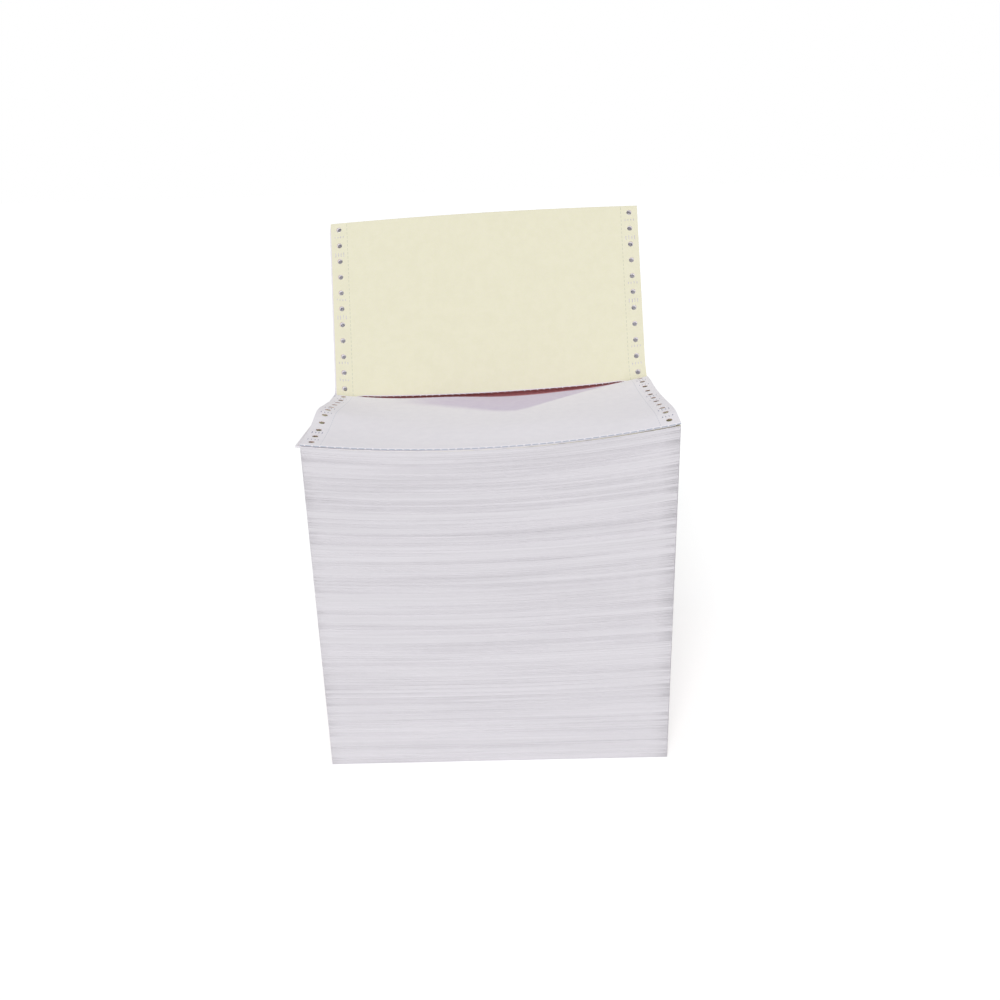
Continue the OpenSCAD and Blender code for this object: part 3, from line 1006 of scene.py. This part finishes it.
# %% Helpers for node trees
def new_tree(name, sockets):
    """A geometry tree that takes a mesh and the named inputs, and gives a mesh."""
    tree = bpy.data.node_groups.new(name, "GeometryNodeTree")
    for in_out in ("INPUT", "OUTPUT"):
        tree.interface.new_socket(
            name="Geometry", in_out=in_out, socket_type="NodeSocketGeometry")
    ids = add_inputs(tree, sockets)
    return tree, tree.nodes.new("NodeGroupInput"), tree.nodes.new("NodeGroupOutput"), ids


def copies_on(tree, points, shape, inputs=()):
    """One copy of the shape on each point, as real faces."""
    copies = wire(tree, "GeometryNodeInstanceOnPoints", {
        "Points": points, "Instance": shape, **dict(inputs)})
    return wire(tree, "GeometryNodeRealizeInstances", {"Geometry": copies.outputs[0]}).outputs[0]


def give_out(tree, sink, geometry, finish, rounded=True):
    """Sets the material, and smooth shading if the shape is round, and ends the tree."""
    if rounded:
        geometry = wire(tree, "GeometryNodeSetShadeSmooth", {
            "Geometry": geometry, "Shade Smooth": True}).outputs[0]
    painted = wire(tree, "GeometryNodeSetMaterial", {"Geometry": geometry, "Material": finish})
    tree.links.new(painted.outputs[0], sink.inputs[0])


def random_share(tree, least, seed):
    """A seeded share of the full size for each point, from the least up to 1."""
    index = wire(tree, "GeometryNodeInputIndex").outputs[0]
    size = wire(tree, "FunctionNodeRandomValue", {"ID": index, "Seed": seed}, data_type="FLOAT")
    low, high = [socket for socket in size.inputs
                 if socket.name in ("Min", "Max") and socket.enabled]
    tree.links.new(least, low)
    high.default_value = 1.0
    return [socket for socket in size.outputs if socket.enabled][0]


def run_nodes(thing, tree, ids, **values):
    """Gives the object the tree, sets its inputs, and keeps the result as plain faces."""
    modifier = thing.modifiers.new("rule", "NODES")
    modifier.node_group = tree
    for label, value in values.items():
        modifier[ids[label.replace("_", " ")]] = value
    graph = bpy.context.evaluated_depsgraph_get()
    made = bpy.data.meshes.new_from_object(thing.evaluated_get(graph), depsgraph=graph)
    thing.modifiers.remove(modifier)
    if volume(made) < 0:
        made.flip_normals()
    old, thing.data = thing.data, made
    bpy.data.meshes.remove(old)
    made.name = thing.name
    return thing


print("Blender", bpy.app.version_string)

# %% [markdown]
# ## The page folds
# One ridge is one fold of the strip, seen from the front or the back: as long as the form is
# wide and less than half a millimetre high. The tree stacks its copies up the pile. Each copy
# takes the sag of the pile in the measure of its height, so the lowest lies flat and the
# highest follows the dish, and steps in or out a little, as pages do in bundles.


# %% Tree of the page folds
def page_fold_tree():
    tree, source, sink, ids = new_tree("page folds", [
        ("Count", "Int", 500), ("Height", "Float", 0.24), ("Sag", "Float", 0.0087),
        ("Slope", "Float", 0.03), ("Half width", "Float", 0.12), ("Wander", "Float", 0.0003),
        ("Seed", "Int", 1), ("Finish", "Material", None)])
    count, height, sag, slope, half, wander, seed, finish = (source.outputs[k] for k in ids)
    line = wire(tree, "GeometryNodeMeshLine", {"Count": count, "Offset": (0, 0, 0)}, mode="OFFSET")
    index = wire(tree, "GeometryNodeInputIndex").outputs[0]
    share = calc(tree, "DIVIDE", calc(tree, "ADD", index, 0.5), count)
    note = wire(tree, "GeometryNodeStoreNamedAttribute", {
        "Geometry": line.outputs[0], "Name": "share"}, data_type="FLOAT", domain="POINT")
    tree.links.new(share, [s for s in note.inputs if s.name == "Value" and s.enabled][0])
    real = copies_on(tree, note.outputs[0], source.outputs["Geometry"])
    level = wire(tree, "GeometryNodeInputNamedAttribute", {"Name": "share"},
                 data_type="FLOAT").outputs[0]
    position = wire(tree, "GeometryNodeInputPosition").outputs[0]
    x = wire(tree, "ShaderNodeSeparateXYZ", {0: position}).outputs[0]
    across = calc(tree, "DIVIDE", x, half)
    bowed = calc(tree, "SUBTRACT", 1.0, calc(tree, "MULTIPLY", across, across))
    sloped = calc(tree, "ADD", height, calc(tree, "MULTIPLY", x, slope))
    top = calc(tree, "SUBTRACT", sloped, calc(tree, "MULTIPLY", bowed, sag))
    drawn = wire(tree, "ShaderNodeCombineXYZ", {
        0: calc(tree, "MULTIPLY", across, 0.6), 1: calc(tree, "MULTIPLY", seed, 3.1)}).outputs[0]
    bundle = wire(tree, "ShaderNodeTexNoise", {
        "W": calc(tree, "MULTIPLY", level, 46.0), "Vector": drawn, "Scale": 1.0, "Detail": 3.0,
        "Roughness": 0.62}, noise_dimensions="4D").outputs[0]
    single = wire(tree, "ShaderNodeTexWhiteNoise", {
        "W": calc(tree, "ADD", calc(tree, "MULTIPLY", level, 977.0), seed)},
        noise_dimensions="1D").outputs[0]
    shift = calc(tree, "ADD",
                 calc(tree, "MULTIPLY", calc(tree, "SUBTRACT", bundle, 0.5), 3.0),
                 calc(tree, "MULTIPLY", calc(tree, "SUBTRACT", single, 0.5), 0.8))
    move = wire(tree, "ShaderNodeCombineXYZ", {
        1: calc(tree, "MULTIPLY", calc(tree, "MINIMUM", shift, 0.9), wander),
        2: calc(tree, "MULTIPLY", level, top)}).outputs[0]
    placed = wire(tree, "GeometryNodeSetPosition", {"Geometry": real, "Offset": move}).outputs[0]
    give_out(tree, sink, placed, finish)
    return tree, ids


fold_tree, fold_ids = page_fold_tree()
print("the tree has", len(fold_tree.nodes), "nodes")


# %% One ridge, and the front and back of the pile
def ridge(name, outward):
    """A thin closed bar with a round outer side, lying across the form at the height of zero."""
    pitch = PILE_H / FOLDS
    profile = [(-0.62, -0.5), (-0.18, -0.46), (0.0, 0.0), (-0.18, 0.46), (-0.62, 0.5)]
    xs, m = np.linspace(-HALF, HALF, 19), len(profile)
    verts = [(x * MM, outward * (PANEL - RIDGE_IN + y) * MM, z * pitch * MM)
             for x in xs for y, z in profile]
    faces = []
    for i in range(len(xs) - 1):
        for j in range(m):
            a, b = i * m + j, i * m + (j + 1) % m
            faces.append([a, b, b + m, a + m])
    faces += [list(range(m))[::-1], [len(verts) - m + j for j in range(m)]]
    if outward > 0:
        faces = [face[::-1] for face in faces]
    mesh = bpy.data.meshes.new(name)
    mesh.from_pydata(verts, [], faces)
    return add_object(name, mesh)


FOLD_PIECES = {}
for name, outward, finish, seed in (
        ("front_folds", -1, WHITE_FOLDS, 1), ("back_folds", 1, YELLOW_FOLDS, 2)):
    folds = run_nodes(
        ridge(name, outward), fold_tree, fold_ids, Count=FOLDS, Height=PILE_H * MM, Sag=SAG * MM,
        Slope=SLOPE, Half_width=HALF * MM, Wander=0.0004, Seed=seed, Finish=finish)
    FOLD_PIECES[name] = folds
    print(name, len(folds.data.polygons), "faces around", round(volume(folds.data), 2), "cm3")

# %% [markdown]
# ## The crimp marks
# The plies are not glued. Short slits are pressed through their punched margins, and the tabs
# between them hook the plies together. Each mark is a little lens, laid flat on the strip in
# rows across the margin by a node tree, and then folded by the same map as the ply under it. So
# a mark sits on its paper wherever that paper goes.

# %% Tree of the marks
def mark_tree():
    tree, source, sink, ids = new_tree("crimp marks", [
        ("Length", "Float", 0.0015), ("Width", "Float", 0.0005), ("Height", "Float", 0.0002),
        ("Uneven", "Float", 0.25), ("Seed", "Int", 1), ("Finish", "Material", None)])
    length, width, height, uneven, seed, finish = (source.outputs[k] for k in ids)
    lens = wire(tree, "GeometryNodeMeshUVSphere", {"Segments": 8, "Rings": 4, "Radius": 0.5})
    share = random_share(tree, calc(tree, "SUBTRACT", 1.0, uneven), seed)
    scale = wire(tree, "ShaderNodeCombineXYZ", {
        0: width, 1: calc(tree, "MULTIPLY", length, share), 2: height})
    usual = calc(tree, "MULTIPLY_ADD", uneven, -0.5, 1.0)
    turn = wire(tree, "ShaderNodeCombineXYZ", {
        2: calc(tree, "MULTIPLY", calc(tree, "SUBTRACT", share, usual), 0.9)})
    real = copies_on(tree, source.outputs["Geometry"], lens.outputs[0], {
        "Rotation": turn.outputs[0], "Scale": scale.outputs[0]})
    give_out(tree, sink, real, finish)
    return tree, ids


marks_tree, marks_ids = mark_tree()
print("the tree has", len(marks_tree.nodes), "nodes")


# %% From flat marks to marks on the paper
def points_only(name, places):
    """A mesh of loose points, as flat places (u, s, height) in mm."""
    mesh = bpy.data.meshes.new(name)
    mesh.from_pydata([tuple(MM * c for c in place) for place in places], [], [])
    return add_object(name, mesh)


def lay_on(thing, ply, part_of):
    """Folds a flat piece with the map of its ply."""
    mesh = thing.data
    flat = np.empty(3 * len(mesh.vertices))
    mesh.vertices.foreach_get("co", flat)
    flat = flat.reshape(-1, 3) / MM
    part = part_of(flat)
    out = np.empty_like(flat)
    for name in ("front", "back"):
        chosen = part == name
        if chosen.any():
            out[chosen] = fold(ply, name, flat[chosen])
    mesh.vertices.foreach_set("co", (out * MM).ravel())
    if volume(mesh) < 0:
        mesh.flip_normals()
    mesh.update()
    return thing


# Where each row of marks lies before the half page's last fold, in mm: two figures stand for long
# marks. A row has four of them, a step apart, with the line of the holes in its middle.
MARK_ROWS = [(12.1,), (25.7, 27.3), (62.6,), (76.0, 77.6), (112.9,), (126.5,)]
MARKS_A_ROW, MARK_STEP = 4, 2.2


def mark_places(above):
    r = np.random.default_rng(17)
    places = []
    for k in range(PANELS):
        for row in MARK_ROWS:
            for side in (-1, 1):
                for n in range(MARKS_A_ROW):
                    beside = ((MARKS_A_ROW - 1) / 2 - n) * MARK_STEP + r.uniform(-0.15, 0.15)
                    for before in row:
                        s = PANEL * (k + 1) - before + r.uniform(-0.3, 0.3)
                        if TORN + 2 < s < LAST - 2:
                            places.append((side * (HALF - HOLE_IN + beside), s, above))
    return places


def mark_paper(name, colour, deep):
    """The paper of small things, such as marks and torn fibres, or the painted shade of slits."""
    material, tree, paper = new_material(name)
    where = wire(tree, "ShaderNodeTexCoord").outputs["Object"]
    grain = use(tree, GRAIN, Vector=where, Seed=8.0)
    dress(tree, paper, tint(tree, grain["Cloud"], colour, deep),
          fade(tree, grain["Fibre"], 0, 1, 0.75, 0.9), grain["Height"])
    return material


MARK_FINISH = {
    # The white ply's marks are painted shade: dark blue-grey for the shade in their slits.
    "white": mark_paper("white_marks", screen(176, 176, 196), screen(132, 134, 160)),
    "yellow": mark_paper("yellow_marks", screen(222, 216, 228), screen(200, 195, 210)),
}
MARKS = {}
for ply, above in (("white", PLY_T / 2), ("yellow", -PLY_T / 2)):
    marks = points_only(ply + "_crimps", mark_places(above))
    count = len(marks.data.vertices)
    run_nodes(marks, marks_tree, marks_ids, Length=0.0023, Width=0.0006, Height=0.00022,
              Uneven=0.35, Seed=3, Finish=MARK_FINISH[ply])
    MARKS[ply] = lay_on(marks, ply, lambda flat: np.where(flat[:, 1] < FOOT, "front", "back"))
    print(ply, "ply:", count, "crimp marks around", round(volume(marks.data), 4), "cm3")

# %% [markdown]
# ## The torn ties
# A perforation is held by small ties of paper, and where it has been torn, each tie leaves a
# nib on both edges. They are made as the marks are: points along the flat edge, a tapered tab
# on each, of seeded length, and then the fold.

# %% Tree of the nibs
def nib_tree():
    tree, source, sink, ids = new_tree("torn ties", [
        ("Length", "Float", 0.0006), ("Width", "Float", 0.0009), ("Thickness", "Float", 0.0001),
        ("Way", "Float", 1.0), ("Uneven", "Float", 0.5), ("Seed", "Int", 1),
        ("Finish", "Material", None)])
    length, width, thick, way, uneven, seed, finish = (source.outputs[k] for k in ids)
    tab = wire(tree, "GeometryNodeMeshCone", {
        "Vertices": 8, "Side Segments": 1, "Radius Top": 0.2, "Radius Bottom": 0.5, "Depth": 1.0})
    share = random_share(tree, calc(tree, "SUBTRACT", 1.0, uneven), seed)
    scale = wire(tree, "ShaderNodeCombineXYZ", {
        0: width, 1: thick, 2: calc(tree, "MULTIPLY", length, share)})
    turn = wire(tree, "ShaderNodeCombineXYZ", {0: calc(tree, "MULTIPLY", way, -math.pi / 2)})
    real = copies_on(tree, source.outputs["Geometry"], tab.outputs[0], {
        "Rotation": turn.outputs[0], "Scale": scale.outputs[0]})
    give_out(tree, sink, real, finish, rounded=False)
    return tree, ids


nibs_tree, nibs_ids = nib_tree()
print("the tree has", len(nibs_tree.nodes), "nodes")


# %% Nibs along the torn edges
def edge_points(reach, s, seed):
    """Points along a torn edge, about 5 mm apart, as far to either side as it reaches."""
    r = np.random.default_rng(seed)
    count = int(2 * reach / 5.0)
    return [(-reach + (n + 0.5) * 2 * reach / count + r.uniform(-0.35, 0.35), s, 0.0)
            for n in range(count)]


TORN_FINISH = {
    "white": mark_paper("white_torn", screen(234, 231, 236), screen(224, 221, 228)),
    "pink": mark_paper("pink_torn", screen(228, 170, 176), screen(218, 150, 158)),
    "yellow": mark_paper("yellow_torn", screen(240, 230, 238), screen(232, 224, 222)),
}
NIBS = []
for name, ply, part, reach, s, way, seed in (
        ("white_nibs", "white", "front", HALF - 1, TORN, -1.0, 1),
        ("pink_nibs", "pink", "front", HALF - 1, TORN, -1.0, 2),
        ("yellow_nibs", "yellow", "front", HALF - 1, TORN, -1.0, 3),
        ("lower_burst_nibs", "yellow", "front", SLIT_END - 3, FOOT, 1.0, 4),
        ("upper_burst_nibs", "yellow", "back", SLIT_END - 3, FOOT, -1.0, 5)):
    nibs = points_only(name, edge_points(reach, s, seed))
    run_nodes(nibs, nibs_tree, nibs_ids, Length=0.0007, Width=0.0009, Thickness=0.0001, Way=way,
              Uneven=0.5, Seed=seed, Finish=TORN_FINISH[ply])
    NIBS.append(lay_on(nibs, ply, lambda flat, part=part: np.full(len(flat), part)))
    print(name, len(nibs.data.polygons), "faces around", round(volume(nibs.data), 5), "cm3")

# %% [markdown]
# ## Floor, light and background
# The pile stands on a plain white floor. One broad lamp from above the camera and an even sky
# give the soft light of a small studio, at a level where a colour comes out about as it is
# written. The background is white because of what the camera sees, not because of more light:
# where the camera looks straight at floor or sky, a little white is added, or white is shown.

# %% Floor
def floor_finish():
    material, tree, body = new_material("white_floor")
    body.inputs["Base Color"].default_value = screen(240, 240, 240)
    body.inputs["Roughness"].default_value = 0.9
    body.inputs["Specular IOR Level"].default_value = 0.0
    lift = wire(tree, "ShaderNodeEmission", {
        "Color": (1, 1, 1, 1), "Strength": calc(tree, "MULTIPLY", seen_directly(tree), 0.36)})
    both = wire(tree, "ShaderNodeAddShader", {0: body.outputs[0], 1: lift.outputs[0]})
    tree.links.new(both.outputs[0], tree.nodes["Material Output"].inputs["Surface"])
    return material


FLOOR = 40
floor_mesh = bpy.data.meshes.new("floor")
floor_mesh.from_pydata(
    [(-FLOOR, -FLOOR, 0), (FLOOR, -FLOOR, 0), (FLOOR, FLOOR, 0), (-FLOOR, FLOOR, 0)],
    [], [[0, 1, 2, 3]])
floor = add_object("floor", floor_mesh)
floor.data.materials.append(floor_finish())
print("floor laid")

# %% Sky and lamp
world = bpy.data.worlds.new("world")
bpy.context.scene.world = world
world.use_nodes = True
sky = world.node_tree
light = sky.nodes["Background"]
light.inputs["Color"].default_value = (0.985, 0.99, 1.0, 1.0)
light.inputs["Strength"].default_value = 0.54
white = wire(sky, "ShaderNodeBackground", {"Color": (1, 1, 1, 1), "Strength": 1.0})
choice = wire(sky, "ShaderNodeMixShader", {
    0: seen_directly(sky), 1: light.outputs[0], 2: white.outputs[0]})
sky.links.new(choice.outputs[0], sky.nodes["World Output"].inputs["Surface"])

lamp_data = bpy.data.lights.new("key", "SUN")
lamp_data.energy = 1.35
lamp_data.angle = math.radians(22)
lamp = add_object("key", lamp_data)
lamp.rotation_mode = "QUATERNION"
lamp.rotation_quaternion = Vector((0.16, 0.78, -0.6)).to_track_quat("-Z", "Y")
bpy.context.scene.view_settings.view_transform = "Standard"
print("lamp of", lamp_data.energy, "and sky of", light.inputs["Strength"].default_value)

# %% [markdown]
# ## Handing the pieces over
# Each piece rides on the one body of this object. The CAD solids of the plies and the pile stay
# in the model for collision, but are not shown.

# %% Bodies
OWNERS = [(SHEETS[ply], ply + "_ply", ply + "_paper") for ply in PLIES]
OWNERS += [(piece, "folded_stack", "form_paper") for piece in [pile, *FOLD_PIECES.values()]]
for piece, node, slot in OWNERS:
    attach(piece, "root")
    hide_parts(node)
for ply, piece in MARKS.items():
    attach(piece, "root")
for piece in NIBS:
    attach(piece, "root")
    ply = "yellow" if "burst" in piece.name else piece.name.split("_")[0]
